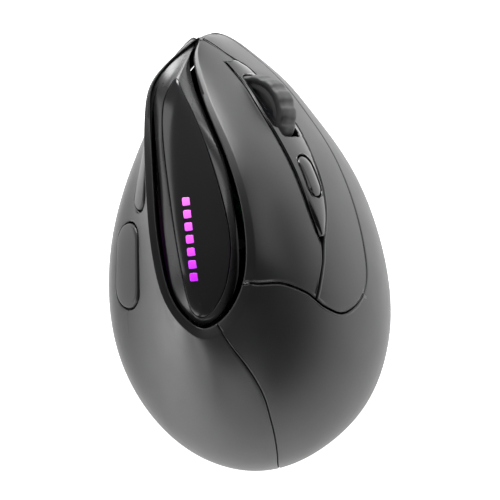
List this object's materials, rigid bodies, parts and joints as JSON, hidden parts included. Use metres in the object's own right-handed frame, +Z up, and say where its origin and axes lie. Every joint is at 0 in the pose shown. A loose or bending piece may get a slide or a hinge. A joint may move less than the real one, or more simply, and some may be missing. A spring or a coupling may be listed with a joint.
{
  "type": "vertical mouse",
  "caption": "Right-handed vertical wireless mouse: two curved shells, main buttons, scroll wheel, thumb buttons, windowed top ring and flat base on glide feet.",
  "frame": {"origin": "centre of the bounding box in plan, on the desk plane under the glide feet", "axes": "+Y towards the nose, +X towards the finger side, +Z up"},
  "size_m": [0.0781, 0.1207, 0.066],
  "materials": {
    "satin_shell": "satin rubberised dark grey plastic",
    "satin_button": "satin rubberised dark grey plastic",
    "gloss_black": "glossy black plastic",
    "smoked_window": "smoked translucent plastic",
    "inner_black": "moulded black plastic",
    "light_guide": "translucent diffusing plastic, lit magenta to violet",
    "tread_rubber": "matte black rubber",
    "hub_grey": "moulded grey plastic",
    "steel": "plain steel",
    "socket_steel": "nickel plated steel",
    "board_green": "green solder mask",
    "chip_black": "moulded black resin",
    "switch_black": "moulded black plastic",
    "plunger_red": "moulded red plastic",
    "clear_lens": "clear moulded plastic",
    "cell_foil": "foil pouch",
    "foam": "black foam",
    "slip_foot": "low-friction plastic",
    "flat_cable": "white flat cable"
  },
  "bodies": {
    "case": {"base_cover": "inner_black", "thumb_shell": "satin_shell", "palm_shell": "satin_shell", "wheel_island": "gloss_black", "bezel_ring": "gloss_black", "bezel_window": "smoked_window", "bezel_tray": "inner_black", "light_guide": "light_guide", "light_strip": "flat_cable", "wheel_encoder": "switch_black", "inner_frame": "inner_black", "hinge_pin": "steel", "button_board": "board_green", "left_switch": "switch_black", "right_switch": "switch_black", "wheel_switch": "switch_black", "dpi_switch": "switch_black", "side_board": "board_green", "side_switches": "switch_black", "main_board": "board_green", "sensor_chip": "chip_black", "sensor_lens": "clear_lens", "power_switch": "switch_black", "usb_port": "socket_steel", "battery": "cell_foil", "battery_pad": "foam", "front_foot": "slip_foot", "rear_left_foot": "slip_foot", "rear_right_foot": "slip_foot", "case_screws": "steel", "board_screws": "steel", "ribbon_cable": "flat_cable", "radio_chip": "chip_black"},
    "left_click": {"left_button": "satin_button", "left_plunger": "plunger_red"},
    "right_click": {"right_button": "satin_button", "right_plunger": "plunger_red"},
    "wheel_carriage": {"wheel_cradle": "hub_grey"},
    "wheel": {"wheel_hub": "hub_grey", "wheel_tyre": "tread_rubber"},
    "resolution_key": {"dpi_button": "gloss_black"},
    "rear_key": {"rear_side_button": "gloss_black"},
    "front_key": {"front_side_button": "gloss_black"},
    "slider": {"power_knob": "slip_foot"}
  },
  "joints": [
    {"name": "left_press", "type": "hinge", "parent": "case", "child": "left_click", "pos_m": [0.01403, -0.00976, 0.04692], "axis": [-0.562, -0.0225, 0.8269], "range_deg": [0, 0.8], "stiffness_Nm_per_rad": 1.2, "springref_deg": -0.46},
    {"name": "right_press", "type": "hinge", "parent": "case", "child": "right_click", "pos_m": [0.01403, -0.00976, 0.04692], "axis": [-0.562, -0.0225, 0.8269], "range_deg": [0, 0.8], "stiffness_Nm_per_rad": 1.2, "springref_deg": -0.46},
    {"name": "wheel_click", "type": "slide", "parent": "case", "child": "wheel_carriage", "axis": [-0.7176, -0.4839, -0.5009], "range_m": [0, 0.0005], "stiffness_N_per_m": 1600, "springref_m": -0.0003},
    {"name": "wheel_spin", "type": "hinge", "parent": "wheel_carriage", "child": "wheel", "pos_m": [0.00182, 0.03573, 0.0384], "axis": [-0.562, -0.0225, 0.8269], "continuous": true},
    {"name": "resolution_press", "type": "slide", "parent": "case", "child": "resolution_key", "axis": [-0.7176, -0.4839, -0.5009], "range_m": [0, 0.0005], "stiffness_N_per_m": 1500, "springref_m": -0.0003},
    {"name": "rear_side_press", "type": "slide", "parent": "case", "child": "rear_key", "axis": [0.8844, -0.1058, -0.4545], "range_m": [0, 0.0007], "stiffness_N_per_m": 1200, "springref_m": -0.0004},
    {"name": "front_side_press", "type": "slide", "parent": "case", "child": "front_key", "axis": [0.8844, -0.1058, -0.4545], "range_m": [0, 0.0007], "stiffness_N_per_m": 1200, "springref_m": -0.0004},
    {"name": "power_slide", "type": "slide", "parent": "case", "child": "slider", "axis": [0, 1, 0], "range_m": [0, 0.0024]}
  ]
}
